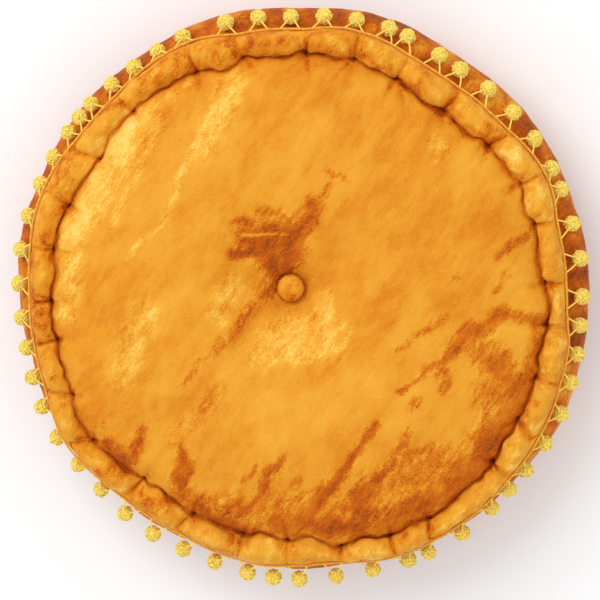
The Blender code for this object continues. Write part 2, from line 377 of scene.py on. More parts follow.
@dataclass(frozen=True)
class CrushedVelvet:
    """Gold velvet whose pile lies this way and that, so that it is deep orange in one place and pale in another.

    It reads the point attribute pile, from -1 where the pile is brushed dark to 1 where it is brushed light. The same
    attribute also carries painted shade and painted light: painted shade in the groove, under the seam, in the gathers
    and on the side band, painted light and shade round the roll and on the button, and painted highlights along thin
    creases.
    """

    # These shades colour both the velvet's own crushed tone and the shade and light painted into pile.
    shades: tuple[tuple[float, Colour], ...] = (
        (0.0, linear((104, 44, 4))),
        (0.1, linear((150, 68, 3))),
        (0.22, linear((196, 90, 3))),
        (0.36, linear((216, 122, 12))),
        (0.5, linear((231, 154, 36))),
        (0.64, linear((240, 172, 52))),
        (0.8, linear((250, 200, 88))),
        (1.0, linear((255, 226, 134))),
    )
    drift: Grain = Grain(60 * MM, 0.08, 1.8, NAP_DEG, 5)
    crush: Grain = Grain(14 * MM, 0.04, 1.9, NAP_DEG, 4)
    streak: Grain = Grain(3.4 * MM, 0.016, 3.2, NAP_DEG + 6)
    fleck: Grain = Grain(1.5 * MM, 0.03, roughness=0.7)
    pile: Grain = Grain(0.6 * MM, 0.03, detail=2)
    rumple_height: float = 1.4 * MM
    pile_height: float = 0.2 * MM
    sheen: float = 0.08

    def material(self, name: str) -> bpy.types.Material:
        """Makes the finish's material.

        Args:
            name: The material's name.

        Returns:
            The new material.
        """
        graph = NodeGraph(name)
        grains = (self.drift, self.crush, self.streak, self.fleck, self.pile)
        _drift, crush, streak, fleck, pile = textures = [graph.grain(grain) for grain in grains]
        brushed = graph.attribute("pile")
        # A stroke is ragged at its edge and smoother in its middle, where it is strongest.
        strength = graph.calculate("ABSOLUTE", brushed)
        faint, strong = graph.between(strength, 0.02, 0.3), graph.between(strength, 1.0, 0.4, 0.25)
        ragged = graph.shifted(0.0, ((streak, 0.24), (crush, 0.22), (fleck, 0.26)))
        edge = graph.calculate("MULTIPLY", faint, strong)
        brushed = graph.calculate("MULTIPLY_ADD", edge, ragged, brushed)
        shade = graph.calculate("MULTIPLY_ADD", brushed, 0.3, 0.5)
        shade = graph.shifted(shade, [(texture, grain.share) for texture, grain in zip(textures, grains)])
        graph.feed(graph.ramp(shade, self.shades), "Base Color")
        graph.feed(graph.between(shade, 0.2, 0.9, 0.75, 0.5), "Roughness")
        rumpled = graph.bump(crush, self.rumple_height)
        graph.feed(graph.bump(graph.calculate("ADD", pile, fleck), self.pile_height, rumpled), "Normal")
        graph.set(
            Specular_IOR_Level=0.16,
            Sheen_Weight=self.sheen,
            Sheen_Roughness=0.4,
            Sheen_Tint=(1.0, 0.72, 0.3, 1.0),
        )
        return graph.material


@dataclass(frozen=True)
class WoolYarn:
    """Soft yellow yarn. It reads the point attribute tip, from 0 for the gold heading to 1 at the ends of fibres.

    A little glow stands for the light that fibres pass on to each other.
    """

    heading: Colour = linear((228, 144, 24))
    # Painted shade: the darker yellow deep in a pompom, between the yarn ends.
    deep: Colour = linear((252, 196, 52))
    body: Colour = linear((255, 222, 92))
    ends: Colour = linear((255, 236, 126))
    lumps: Grain = Grain(2.4 * MM, 0.12, detail=2, roughness=0.5)
    fibres: Grain = Grain(0.35 * MM, 0.12, roughness=0.7)
    fibre_height: float = 0.06 * MM
    glow: float = 0.1

    def material(self, name: str) -> bpy.types.Material:
        """Makes the finish's material.

        Args:
            name: The material's name.

        Returns:
            The new material.
        """
        graph = NodeGraph(name)
        lumps, fibres = graph.grain(self.lumps), graph.grain(self.fibres)
        noises = ((lumps, self.lumps.share), (fibres, self.fibres.share))
        stops = ((0.0, self.heading), (0.2, self.deep), (0.65, self.body), (1.0, self.ends))
        graph.feed(graph.ramp(graph.shifted(graph.attribute("tip"), noises), stops), "Base Color")
        graph.feed(graph.bump(fibres, self.fibre_height), "Normal")
        graph.set(
            Roughness=0.9,
            Specular_IOR_Level=0.1,
            Sheen_Weight=0.8,
            Sheen_Roughness=0.6,
            Sheen_Tint=(1.0, 0.8, 0.25, 1.0),
            Emission_Color=(*self.body, 1.0),
            Emission_Strength=self.glow,
        )
        return graph.material


@dataclass(frozen=True)
class PaperFloor:
    """Matt white studio paper."""

    colour: Colour = (0.97, 0.98, 0.99)
    tooth: Grain = Grain(2 * MM, detail=2, roughness=0.5)
    tooth_height: float = 0.05 * MM

    def material(self, name: str) -> bpy.types.Material:
        """Makes the finish's material.

        Args:
            name: The material's name.

        Returns:
            The new material.
        """
        graph = NodeGraph(name)
        graph.feed(graph.bump(graph.grain(self.tooth), self.tooth_height), "Normal")
        graph.set(Base_Color=(*self.colour, 1), Roughness=0.95, Specular_IOR_Level=0.1)
        return graph.material


@dataclass
class CushionForm:
    """The cushion's solid, read as lines of points: one line for each angle, and rows from top to underside."""

    node: bpy.types.Object
    seat_width: float = 25 * MM
    pinch_range: float = 0.2 * MM
    points: np.ndarray = field(init=False)
    top: np.ndarray = field(init=False)
    bottom: np.ndarray = field(init=False)

    def __post_init__(self) -> None:
        """Reads the rows, going out ring by ring from the rim of the flat seat of the button."""
        solid = bmesh.new()
        solid.from_mesh(self.node.data)
        bmesh.ops.remove_doubles(solid, verts=solid.verts, dist=SAME_PLACE)
        # The triangles of the flat seat meet at one point of its rim.
        fan = max(solid.verts, key=lambda vertex: (len(vertex.link_edges), vertex.co.z)).co
        ring = {v for v in solid.verts if abs(v.co.z - fan.z) < SAME_PLACE and (v.co - fan).length < self.seat_width}
        seen, rows = set(ring), []
        while ring:
            rows.append(self.in_order(np.array([vertex.co for vertex in ring])))
            ring = {edge.other_vert(vertex) for vertex in ring for edge in vertex.link_edges} - seen
            seen |= ring
        solid.free()
        self.top, self.bottom = rows[0].mean(axis=0), rows[-1].mean(axis=0)
        for number in range(1, len(rows)):
            turned = [np.roll(rows[number], places, axis=0) for places in (-1, 0, 1)]
            gaps = [np.linalg.norm(row - rows[number - 1], axis=1).sum() for row in turned]
            rows[number] = turned[int(np.argmin(gaps))]
        self.points = np.array(rows).transpose(1, 0, 2)

    @staticmethod
    def in_order(ring: np.ndarray) -> np.ndarray:
        """Returns a ring's points in order round its middle."""
        away = ring - ring.mean(axis=0)
        return ring[np.argsort(np.arctan2(away[:, 1], away[:, 0]))]

    def row(self, row: Row) -> np.ndarray:
        """Returns the points of a sewn row, one for each line."""
        return self.points[:, row.value - 1]

    def pinches(self) -> np.ndarray:
        """Returns the indices of the lines that a stitch pinches: the deepest places of the groove."""
        heights = self.row(Row.GROOVE)[:, 2]
        return np.flatnonzero(heights < heights.min() + self.pinch_range)


def resample(points: np.ndarray, knots: np.ndarray, at: np.ndarray) -> np.ndarray:
    """Draws a smooth curve through points and reads it at new places.

    Args:
        points: The points, along the first axis.
        knots: The place of each point along the curve, rising.
        at: The places to read.

    Returns:
        The points at those places, along the first axis.
    """
    spans = np.diff(knots)
    shape = (-1,) + (1,) * (points.ndim - 1)
    slopes = np.diff(points, axis=0) / spans.reshape(shape)
    tangents = np.empty_like(points)
    tangents[0], tangents[-1] = slopes[0], slopes[-1]
    before, after = spans[:-1].reshape(shape), spans[1:].reshape(shape)
    tangents[1:-1] = (after * slopes[:-1] + before * slopes[1:]) / (before + after)
    index = np.clip(np.searchsorted(knots, at, side="right") - 1, 0, len(spans) - 1)
    span = spans[index].reshape(shape)
    t = ((at - knots[index]) / spans[index]).reshape(shape)
    return (
        (2 * t**3 - 3 * t**2 + 1) * points[index]
        + (t**3 - 2 * t**2 + t) * span * tangents[index]
        + (3 * t**2 - 2 * t**3) * points[index + 1]
        + (t**3 - t**2) * span * tangents[index + 1]
    )


@dataclass(frozen=True)
class PileStroke:
    """A place where a hand or the packing has brushed the pile: a tapered stroke on the crown or the roll. A thin light
    stroke is a painted highlight along a raised crease.

    The ends are millimetres to the right of the pouf's axis and behind it, and so are the widths to each side.
    """

    start: tuple[float, float]
    end: tuple[float, float]
    start_width: float
    end_width: float
    strength: float

    def is_crease(self) -> bool:
        """Says whether the stroke is a thin straight line along a crease, as the painted crease highlight is."""
        return max(self.start_width, self.end_width) <= 2

    def at(self, points: np.ndarray) -> np.ndarray:
        """Reads the stroke.

        Args:
            points: Points in metres, one a row.

        Returns:
            How strongly the stroke brushes each.
        """
        start, end = np.array(self.start) * MM, np.array(self.end) * MM
        along = end - start
        share = np.clip(((points[:, :2] - start) @ along) / max(along @ along, 1e-12), 0, 1)
        distance = np.linalg.norm(points[:, :2] - start - share[:, None] * along, axis=1)
        width = (self.start_width + (self.end_width - self.start_width) * share) * MM
        return self.strength * (1 - eased((distance / width - 0.05) / 1.6))


# Where the pile is brushed, in the order of the pouf's face: round the button, right, front, left and behind. The thin
# light strokes are painted highlights along raised creases.
PILE_STROKES = (
    PileStroke((-30, 50), (-13, 22), 15, 8, -0.9),
    PileStroke((-3, 52), (-9, 22), 15, 8, -0.9),
    PileStroke((-40, 59), (4, 57), 9, 12, -0.8),
    PileStroke((-24, 46), (-4, 44), 12, 10, -0.85),
    PileStroke((2, 56), (15, 80), 13, 8, -0.72),
    PileStroke((-26, 40), (-48, 41), 9, 4, -0.85),
    PileStroke((-30, 78), (-8, 68), 4, 6, -0.55),
    PileStroke((20, 84), (30, 96), 4, 3, -0.4),
    PileStroke((-38, 51), (-22, 44), 9, 11, -0.85),
    PileStroke((-40, 68), (-28, 60), 6, 8, -0.6),
    # Painted highlight along a raised crease.
    PileStroke((-42, 55), (-6, 56.5), 1.3, 1.0, 1.1),
    PileStroke((-24, 11), (-57, -31), 9, 6, -0.36),
    PileStroke((-57, -31), (-92, -64), 4, 3, -0.5),
    PileStroke((-12, -30), (26, -26), 16, 17, 0.7),
    PileStroke((20, 6), (26, -14), 7, 9, 0.6),
    PileStroke((-30, -44), (2, -38), 8, 10, 0.4),
    PileStroke((-62, -8), (-52, 14), 12, 12, 0.3),
    PileStroke((-140, -60), (-120, -10), 14, 16, 0.35),
    PileStroke((85, -66), (131, -30), 2.5, 5, -0.75),
    PileStroke((131, -29), (162, -8), 9, 9, -0.85),
    PileStroke((162, -6), (199, -12), 5, 6, -0.7),
    PileStroke((150, -38), (182, -74), 14, 19, -0.85),
    PileStroke((193, -16), (178, -87), 6, 8, -0.7),
    PileStroke((158, 14), (167, 27), 3, 3, -0.7),
    PileStroke((161, 41), (181, 59), 3, 4, -0.65),
    PileStroke((127, 21), (129, 22), 4, 4, -0.5),
    PileStroke((82, -34), (119, -5), 2.5, 2.5, -0.4),
    PileStroke((116, -52), (119, -67), 5, 4, -0.5),
    PileStroke((95, -78), (96, -82), 4, 4, -0.4),
    PileStroke((164, -70), (180, -80), 20, 20, -0.75),
    PileStroke((178, -78), (132, -140), 18, 17, -0.85),
    PileStroke((132, -140), (70, -180), 17, 17, -0.85),
    PileStroke((118, -124), (62, -152), 15, 18, -0.55),
    PileStroke((62, -168), (-66, -170), 17, 14, -0.5),
    PileStroke((95, -56), (86, -68), 3, 3, -0.5),
    PileStroke((65, -96), (40, -129), 3.5, 3.5, -0.85),
    PileStroke((91, -102), (71, -134), 4.5, 5, -0.8),
    PileStroke((71, -134), (58, -152), 5, 9, -0.85),
    PileStroke((97, -73), (95, -82), 4, 4, -0.5),
    PileStroke((54, -164), (50, -150), 14, 8, -0.9),
    PileStroke((51, -116), (25, -150), 3.5, 6, -1.0),
    PileStroke((25, -150), (10, -171), 7, 10, -0.95),
    PileStroke((-15, -177), (52, -182), 12, 12, -1.0),
    PileStroke((-10, -123), (-27, -152), 3, 6, -0.9),
    PileStroke((-27, -152), (-41, -168), 6, 9, -0.9),
    PileStroke((-31, -130), (-42, -144), 2.5, 3, -0.6),
    PileStroke((4, -143), (-2, -149), 3.5, 3.5, -0.5),
    PileStroke((-90, -124), (-93, -155), 6, 10, -0.95),
    PileStroke((-80, -167), (-41, -189), 9, 8, -0.9),
    PileStroke((-151, -118), (-136, -133), 8, 7, -1.0),
    PileStroke((-122, -100), (-134, -130), 5, 6, -0.9),
    PileStroke((-155, -101), (-157, -103), 3, 3, -0.5),
    PileStroke((-62, -70), (-98, -110), 9, 9, -0.25),
    PileStroke((-150, 130), (-118, 148), 15, 13, 0.85),
    PileStroke((-182, 50), (-140, 126), 13, 15, 0.75),
    PileStroke((-186, -10), (-182, 50), 11, 13, 0.55),
    # Painted highlights along raised creases.
    PileStroke((-131, 38), (-99, 73), 2.4, 2.0, 0.5),
    PileStroke((-99, 73), (-88, 112), 2.0, 2.2, 0.5),
    PileStroke((-88, 112), (-53, 173), 2.2, 2.6, 0.5),
    PileStroke((-108, 151), (-116, 120), 3.0, 2.4, 0.6),
    PileStroke((-116, 120), (-145, 66), 2.4, 3.0, 0.5),
    PileStroke((-73, 182), (-99, 164), 2.4, 2.6, 0.6),
    PileStroke((-56, 160), (-50, 178), 12, 12, 0.55),
    PileStroke((-70, 120), (-62, 150), 10, 12, 0.3),
    PileStroke((115, 126), (112, 124), 8, 8, 0.45),
    PileStroke((26, 109), (40, 101), 2, 3, -0.5),
    PileStroke((72, 186), (115, 154), 4, 4, -0.55),
    PileStroke((127, 148), (150, 129), 5, 5, -0.6),
    PileStroke((-178, -111), (-176, -112), 5, 5, -0.7),
    PileStroke((-144, -143), (-142, -144), 8, 8, -0.8),
    PileStroke((-115, -165), (-113, -166), 8, 7, -0.6),
)


@dataclass(frozen=True)
class Gathers:
    """The gathers that a stitch pulls one way: out over the roll, 1, or in over the crown, -1. Sizes in millimetres."""

    way: int
    lean: float
    reach: tuple[float, float]
    spread: float
    widths: tuple[float, float]
    depths: tuple[float, float]


@dataclass
class Cushion:
    """The stuffed velvet body with its pinched, rolled rim."""

    form: CushionForm
    velvet: CrushedVelvet
    lines_between: int = 6
    steps_between: tuple[int, ...] = (1, 2, 3, 6, 12, 19, 19, 16, 8, 5, 6, 6, 4, 4, 4, 5, *(3,) * 8, 2, 2, 2, 3)
    fine_rows: tuple[float, float] = (8.4, 18.5)
    wrap: int = 3
    voxel: float = 5 * MM
    pressure: float = 4.0
    frames: int = 20
    most_swell: float = 3 * MM
    swell_below: float = 0.25
    held_reach: float = 5 * MM
    button_reach: float = 16 * MM
    fullest_deg: float = 75.0
    slack: float = 6 * MM
    fold_depth: float = 2.2 * MM
    fold_width: float = 1.1 * MM
    gathers: tuple[Gathers, ...] = (
        Gathers(-1, 0.9, (10, 26), 3, (1.3, 2.2), (0.7, 1.9)),
        Gathers(1, 0.8, (8, 20), 7, (1.0, 1.7), (1.0, 2.4)),
    )
    button_gathers: int = 11
    deepest_gather: float = 3 * MM
    dents: tuple[Ripple, ...] = (Ripple(0.9 * MM, 26 * MM, 3.0), Ripple(0.5 * MM, 9 * MM, 8.0))
    roll_dents: Ripple = Ripple(2.6 * MM, 9 * MM, 14.0)
    puckers: Ripple = Ripple(0.7 * MM, 9 * MM, 5.0)
    sags: Ripple = Ripple(0.8 * MM, 34 * MM, 6.0)
    stroke_warp: tuple[Ripple, ...] = (Ripple(5 * MM, 14 * MM, 21.0), Ripple(5 * MM, 14 * MM, 22.0))
    large_crush: Ripple = Ripple(0.5, 24 * MM, 33.0)
    small_crush: Ripple = Ripple(0.5, 8 * MM, 34.0)
    band_crush: Ripple = Ripple(0.8, 12 * MM, 31.0)
    band_reach: float = 220 * MM
    # Painted light and shade round the roll: lightest towards this angle.
    roll_painted_light_deg: float = 325.0
    seed: int = 11

    def build(self) -> bpy.types.Object:
        """Makes the cushion.

        Returns:
            The dressed piece.
        """
        grid = self.fine_grid()
        points = grid.reshape(-1, 3)
        rows = np.tile(self.row_numbers(), len(grid))
        loose = 1 - (1 - self.swell_below) * past(rows, Row.UNDER_STITCH, -0.5)
        points = points + self.settled(points) * loose[:, None]
        over_roll = past(rows, Row.GROOVE, -0.4, 0.5) * (1 - past(rows, Row.SEAM, -1))
        drop = self.gather_depths(points, rows) + self.fold_depths(grid) * over_roll
        # The pile numbers also hold painted shade and painted light.
        pile = self.pile(points, rows, drop)
        points = self.gathered(points, rows, drop)
        points[:, 2] = np.maximum(points[:, 2], self.form.bottom[2])
        points, faces, used = self.closed(points, grid.shape[:2])
        piece = new_piece("velvet_cushion", points, faces)
        set_attribute(piece, "pile", np.concatenate([pile, [0, 0]])[used])
        piece.data.materials.append(self.velvet.material("crushed_velvet"))
        return piece

    def row_numbers(self) -> np.ndarray:
        """Returns the place of each fine row among the solid's rows: 11.5 is halfway from row 11 to row 12."""
        numbers = [n + step / steps for n, steps in enumerate(self.steps_between) for step in range(steps)]
        return np.array(numbers[1:])

    def fine_grid(self) -> np.ndarray:
        """Draws smooth lines through the solid's points.

        Returns:
            Points by fine line and fine row.
        """
        count = len(self.form.points)
        poles = [np.broadcast_to(pole, (count, 1, 3)) for pole in (self.form.top, self.form.bottom)]
        lines = np.concatenate([poles[0], self.form.points, poles[1]], axis=1)
        lengths = np.linalg.norm(np.diff(lines, axis=1), axis=2).mean(axis=0)
        knots = np.concatenate([[0], np.cumsum(lengths)])
        places = np.interp(self.row_numbers(), np.arange(len(knots)), knots)
        fine = resample(lines.transpose(1, 0, 2), knots, places).transpose(1, 0, 2)
        around, rim = (
            np.concatenate([part[-self.wrap :], part, part[: self.wrap + 1]])
            for part in (fine, self.form.row(Row.GROOVE)[:, :2])
        )
        turns = np.concatenate([[0], np.cumsum(np.linalg.norm(np.diff(rim, axis=0), axis=1))])
        at = self.wrap + np.arange(count * self.lines_between) / self.lines_between
        return resample(around, turns, np.interp(at, np.arange(len(turns)), turns))

    def closed(self, points: np.ndarray, shape: tuple[int, int]) -> tuple[np.ndarray, Faces, np.ndarray]:
        """Closes a grid of points with a fan at the top and one below. Away from the rim every second line is enough.

        Args:
            points: The grid's points, one a row.
            shape: How many lines and rows the grid has.

        Returns:
            The points that are used, the faces, which point out, and which of the grid's points and the two
            middles were used.
        """
        lines, rows = shape
        top, bottom = len(points), len(points) + 1
        numbers = self.row_numbers()
        strides = np.where((numbers > self.fine_rows[0]) & (numbers < self.fine_rows[1]), 1, 2)
        faces = [(top, line * rows, (line + 2) % lines * rows) for line in range(0, lines, 2)]
        for row in range(rows - 1):
            stride = max(strides[row], strides[row + 1])
            for line in range(0, lines, stride):
                inner = [n % lines * rows + row for n in range(line, line + stride + 1, strides[row])]
                outer = [n % lines * rows + row + 1 for n in range(line, line + stride + 1, strides[row + 1])]
                faces.append((inner[0], *outer, *reversed(inner[1:])))
        last = rows - 1
        faces += [(bottom, (line + 2) % lines * rows + last, line * rows + last) for line in range(0, lines, 2)]
        poles = np.array([points[::rows].mean(axis=0), points[last::rows].mean(axis=0)])
        used = np.unique([index for face in faces for index in face])
        places = np.full(len(points) + 2, -1)
        places[used] = np.arange(len(used))
        faces = [tuple(places[list(face)].tolist()) for face in faces]
        return np.concatenate([points, poles])[used], faces, used

    def settled(self, points: np.ndarray) -> np.ndarray:
        """Blows the velvet up against its stitches as cloth, and reads how far it moves.

        Args:
            points: The points to move.

        Returns:
            How far each point moves.
        """
        cloth = bpy.data.objects.new("settling", self.form.node.data.copy())
        bpy.context.scene.collection.objects.link(cloth)
        select_only(cloth)
        remesh = cloth.modifiers.new("even", "REMESH")
        remesh.mode = "VOXEL"
        remesh.voxel_size = self.voxel
        bpy.ops.object.modifier_apply(modifier=remesh.name)
        rest = self.read(cloth)
        held = cloth.vertex_groups.new(name="held")
        held.add([int(n) for n in np.flatnonzero(self.is_held(rest))], 1.0, "REPLACE")
        modifier = cloth.modifiers.new("settle", "CLOTH")
        settings = modifier.settings
        settings.quality = 4
        settings.mass = 0.3
        settings.tension_stiffness = settings.compression_stiffness = 25
        settings.bending_stiffness = 0.6
        settings.use_pressure = True
        settings.uniform_pressure_force = self.pressure
        settings.shrink_min = -0.03
        settings.effector_weights.gravity = 0
        settings.vertex_group_mass = held.name
        modifier.collision_settings.use_collision = False
        modifier.point_cache.frame_end = self.frames
        for frame in range(1, self.frames + 1):
            bpy.context.scene.frame_set(frame)
        bpy.ops.object.modifier_apply(modifier=modifier.name)
        moved = self.read(cloth) - rest
        bpy.context.scene.frame_set(1)
        bpy.data.objects.remove(cloth)
        length = np.linalg.norm(moved, axis=1, keepdims=True)
        LOG.info("settling moved the velvet by %.1f mm at most", length.max() / MM)
        moved *= np.minimum(1, self.most_swell / np.maximum(length, 1e-9))
        return self.carried(points, rest, moved)

    @staticmethod
    def read(piece: bpy.types.Object) -> np.ndarray:
        """Returns a piece's points, one a row."""
        flat = np.empty(len(piece.data.vertices) * 3, np.float32)
        piece.data.vertices.foreach_get("co", flat)
        return flat.reshape(-1, 3).astype(float)

    def is_held(self, points: np.ndarray) -> np.ndarray:
        """Says which points the stitches, the button or the floor hold.

        Args:
            points: Points, one a row.

        Returns:
            True or False for each.
        """
        sewn = tree_of(np.concatenate([self.form.row(row) for row in (Row.GROOVE, Row.SEAM, Row.UNDER_STITCH)]))
        near = np.array([sewn.find(point)[2] < self.held_reach for point in points])
        low = points[:, 2] < self.form.row(Row.LOWER_STITCH)[:, 2].max() + self.held_reach
        button = np.linalg.norm(points - self.form.top, axis=1) < self.button_reach
        return near | low | button

    @staticmethod
    def carried(points: np.ndarray, rest: np.ndarray, moved: np.ndarray) -> np.ndarray:
        """Carries movement from one set of points to another.

        Args:
            points: The points to move.
            rest: The points that moved, where they started.
            moved: How far they moved.

        Returns:
            How far each of points moves with its near ones.
        """
        tree = tree_of(rest)
        result = np.empty_like(points)
        for number, point in enumerate(points):
            found = tree.find_n(point, 5)
            weights = np.array([1 / (distance + MM) ** 2 for _co, _index, distance in found])
            result[number] = weights @ moved[[index for _co, index, _distance in found]] / weights.sum()
        return result

    def creases(self) -> Iterator[tuple[np.ndarray, np.ndarray, float, float]]:
        """Works out the gathers that the stitches and the button pull into the velvet.

        Yields:
            The start and end of each, its width to one side and its depth.
        """
        random = np.random.default_rng(self.seed)
        groove = self.form.row(Row.GROOVE)
        for line in self.form.pinches():
            at = groove[line]
            out = unit(at[:2])
            side = np.array([-out[1], out[0]])
            yield at[:2] - 2 * MM * out, at[:2] + 10 * MM * out - 2 * MM * side, 0.9 * MM, 2.4 * MM
            for gathers in self.gathers:
                for _ in range(random.integers(3, 6)):
                    lean = random.uniform(-gathers.lean, gathers.lean)
                    length = random.uniform(*gathers.reach) * MM
                    start = at[:2] + gathers.way * 1.5 * MM * out + side * lean * gathers.spread * MM
                    end = start + gathers.way * out * length + side * lean * length
                    yield start, end, random.uniform(*gathers.widths) * MM, random.uniform(*gathers.depths) * MM
        for number in range(self.button_gathers):
            angle = math.tau * (number + random.uniform(-0.3, 0.3)) / self.button_gathers
            out = np.array([math.cos(angle), math.sin(angle)])
            start = self.form.top[:2] + 10 * MM * out
            end = start + out * random.uniform(10, 24) * MM
            yield start, end, random.uniform(1.4, 2.4) * MM, random.uniform(0.5, 1.1) * MM

    def fold_depths(self, grid: np.ndarray) -> np.ndarray:
        """Works out the sharp fold that each stitch pulls across the roll, along the solid's own pinched line.

        Args:
            grid: Points by fine line and fine row.

        Returns:
            The fold's depth at each of the grid's points.
        """
        rim = grid[:, np.searchsorted(self.row_numbers(), Row.GROOVE.value), :2]
        pinched = rim[self.form.pinches() * self.lines_between]
        distance = np.linalg.norm(rim[:, None] - pinched[None], axis=2).min(axis=1)
        return np.repeat(self.fold_depth * np.exp(-((distance / self.fold_width) ** 2)), grid.shape[1])

    def gather_depths(self, points: np.ndarray, rows: np.ndarray) -> np.ndarray:
        """Works out how deep the gathers are.

        Args:
            points: The cushion's points.
            rows: The place of each among the solid's rows.

        Returns:
            The depth at each point.
        """
        drop = np.zeros(len(points))
        for start, end, width, depth in self.creases():
            along = end - start
            length = np.linalg.norm(along)
            share = ((points[:, :2] - start) @ along) / length**2
            off = np.linalg.norm(points[:, :2] - start - np.clip(share, 0, 1)[:, None] * along, axis=1)
            drop += depth * np.exp(-((off / width) ** 2)) * (1 - eased(share))
        return np.minimum(drop, self.deepest_gather) * (1 - past(rows, Row.SEAM, -0.6))

    def upright(self, points: np.ndarray, height_share: float) -> np.ndarray:
        """Turns points into places at which noise runs in upright folds round the side band.

        Args:
            points: Points, one a row.
            height_share: How much of each point's height counts; less makes longer folds.

        Returns:
            The places, one a row.
        """
        out = unit(points[:, :2]) * self.band_reach
        return np.column_stack([out, points[:, 2] * height_share])

    def gathered(self, points: np.ndarray, rows: np.ndarray, drop: np.ndarray) -> np.ndarray:
        """Draws the gathers and small dents into the top and the roll, and puckers into the side band.

        Args:
            points: The points to move.
            rows: The place of each among the solid's rows.
            drop: How deep the gathers are at each.

        Returns:
            The moved points.
        """
        moved = points.copy()
        on_top = 1 - past(rows, Row.SEAM, -0.6)
        moved[:, 2] += on_top * (sum(dents.at(points) for dents in self.dents) - drop)
        on_roll = past(rows, Row.GROOVE, -1.6, 1.4) * (1 - past(rows, Row.GROOVE, 2))
        angle = np.arctan2(points[:, 1], points[:, 0])
        pucker = self.puckers.at(self.upright(points, 0.4)) + self.sags.at(points)
        pucker -= self.slack * eased(-np.cos(angle - math.radians(self.fullest_deg)))
        on_wall = past(rows, Row.UNDER_STITCH, 0, 1.5) * (1 - past(rows, Row.LOWER_STITCH, -0.8))
        outward = on_roll * self.roll_dents.at(points) + on_wall * pucker
        moved[:, :2] += unit(points[:, :2]) * outward[:, None]
        return moved

    def pile(self, points: np.ndarray, rows: np.ndarray, drop: np.ndarray) -> np.ndarray:
        """Works out which way the pile is brushed, and paints shade and light into the same numbers.

        Args:
            points: The cushion's points.
            rows: The place of each among the solid's rows.
            drop: How deep the gathers are at each, which also sets the painted shade in them.

        Returns:
            A number for each point, from -1, dark, to 1, light.
        """
        warped = points[:, :2] + np.column_stack([warp.at(points) for warp in self.stroke_warp])
        dark, light = np.zeros(len(points)), np.zeros(len(points))
        for stroke in PILE_STROKES:
            brushed = stroke.at(points[:, :2] if stroke.is_crease() else warped)
            dark, light = np.minimum(dark, brushed), np.maximum(light, brushed)
        crown = np.clip(dark + light, -1, 1)
        large, small = self.large_crush.at(points), self.small_crush.at(points)
        angle = np.arctan2(points[:, 1], points[:, 0])
        # Painted light and shade round the roll: lighter towards one side, darker on the other.
        roll = 0.6 * crown + 0.06 + 0.2 * np.cos(angle - math.radians(self.roll_painted_light_deg)) + large + small
        on_roll = past(rows, Row.GROOVE, -0.4, 0.8)
        top = crown * (1 - on_roll) + roll * on_roll
        # Painted shade in the groove and under the seam.
        for row, painted_shade, width in ((Row.GROOVE, 0.35, 0.55), (Row.SEAM, 0.2, 1.0)):
            top -= painted_shade * np.exp(-(((rows - row.value) / width) ** 2))
        # Painted shade in the gathers, darker where they are deeper.
        top -= 0.16 * drop / MM * past(rows, Row.GROOVE, -4, 2)
        # Painted shade on the side band, with uneven streaks.
        band = -0.85 + self.band_crush.at(self.upright(points, 0.5)) + large
        on_band = past(rows, Row.SEAM)
        return np.clip(top * (1 - on_band) + band * on_band, -1.1, 1)


@dataclass
class CoveredButton:
    """A dome button covered in the same velvet, which is gathered under its edge."""

    node: str
    velvet: CrushedVelvet
    edge_share: float = 0.38
    folds: int = 17
    fold_depth: float = 0.14 * MM
    fold_place: float = 0.97
    fold_reach: float = 0.3
    dent_size: float = 6 * MM
    dent_depth: float = 0.25 * MM

    def build(self) -> bpy.types.Object:
        """Makes the button.

        Returns:
            The dressed piece.
        """
        low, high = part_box(self.node)
        centre = (low + high) / 2
        radius = (high.x - low.x) / 2
        edge = low.z + self.edge_share * (high.z - low.z)
        bpy.ops.object.select_all(action="DESELECT")
        bpy.ops.mesh.primitive_uv_sphere_add(
            segments=96, ring_count=48, radius=radius, location=(centre.x, centre.y, edge)
        )
        piece = bpy.context.object
        piece.name = "covered_button"
        bpy.ops.object.transform_apply(location=True, rotation=False, scale=False)
        for vertex in piece.data.vertices:
            height = vertex.co.z - edge
            up = height > 0
            vertex.co.z = edge + height / radius * ((high.z - edge) if up else (edge - low.z))
            away = vertex.co.xy - centre.xy
            angle = math.atan2(away.y, away.x)
            rim = max(0.0, 1 - abs(away.length / radius - self.fold_place) / self.fold_reach)
            wave = math.sin(self.folds * angle + 2.2 * math.sin(3 * angle))
            depth = self.fold_depth * (1.0 if up else 1.6)
            vertex.co.xy = centre.xy + away * (1 + wave * rim * depth / radius)
            if up:
                vertex.co.z += noise.noise(Vector(vertex.co) / self.dent_size) * self.dent_depth
        piece.data.shade_smooth()
        # The button's pile attribute holds painted light and shade.
        set_attribute(piece, "pile", self.pile(piece, centre, radius))
        piece.data.materials.append(self.velvet.material("button_velvet"))
        return piece

    @staticmethod
    def pile(piece: bpy.types.Object, centre: Vector, radius: float) -> np.ndarray:
        """Paints light and shade into the button's pile: painted light behind, painted shade round the edge and in
        front.

        Args:
            piece: The button.
            centre: Its middle.
            radius: Its radius.

        Returns:
            A number for each point, from -1, dark, to 1, light.
        """
        away = (np.array([vertex.co for vertex in piece.data.vertices]) - centre) / radius
        front_shade = np.linalg.norm(away[:, :2] - (0.04, -0.48), axis=1) / 0.5
        edge = eased((np.linalg.norm(away[:, :2], axis=1) - 0.82) / 0.18)
        # Painted light towards the back; painted shade in front and round the edge.
        return 0.1 + 0.25 * away[:, 1] - 0.6 * (1 - eased(front_shade)) - 0.8 * edge


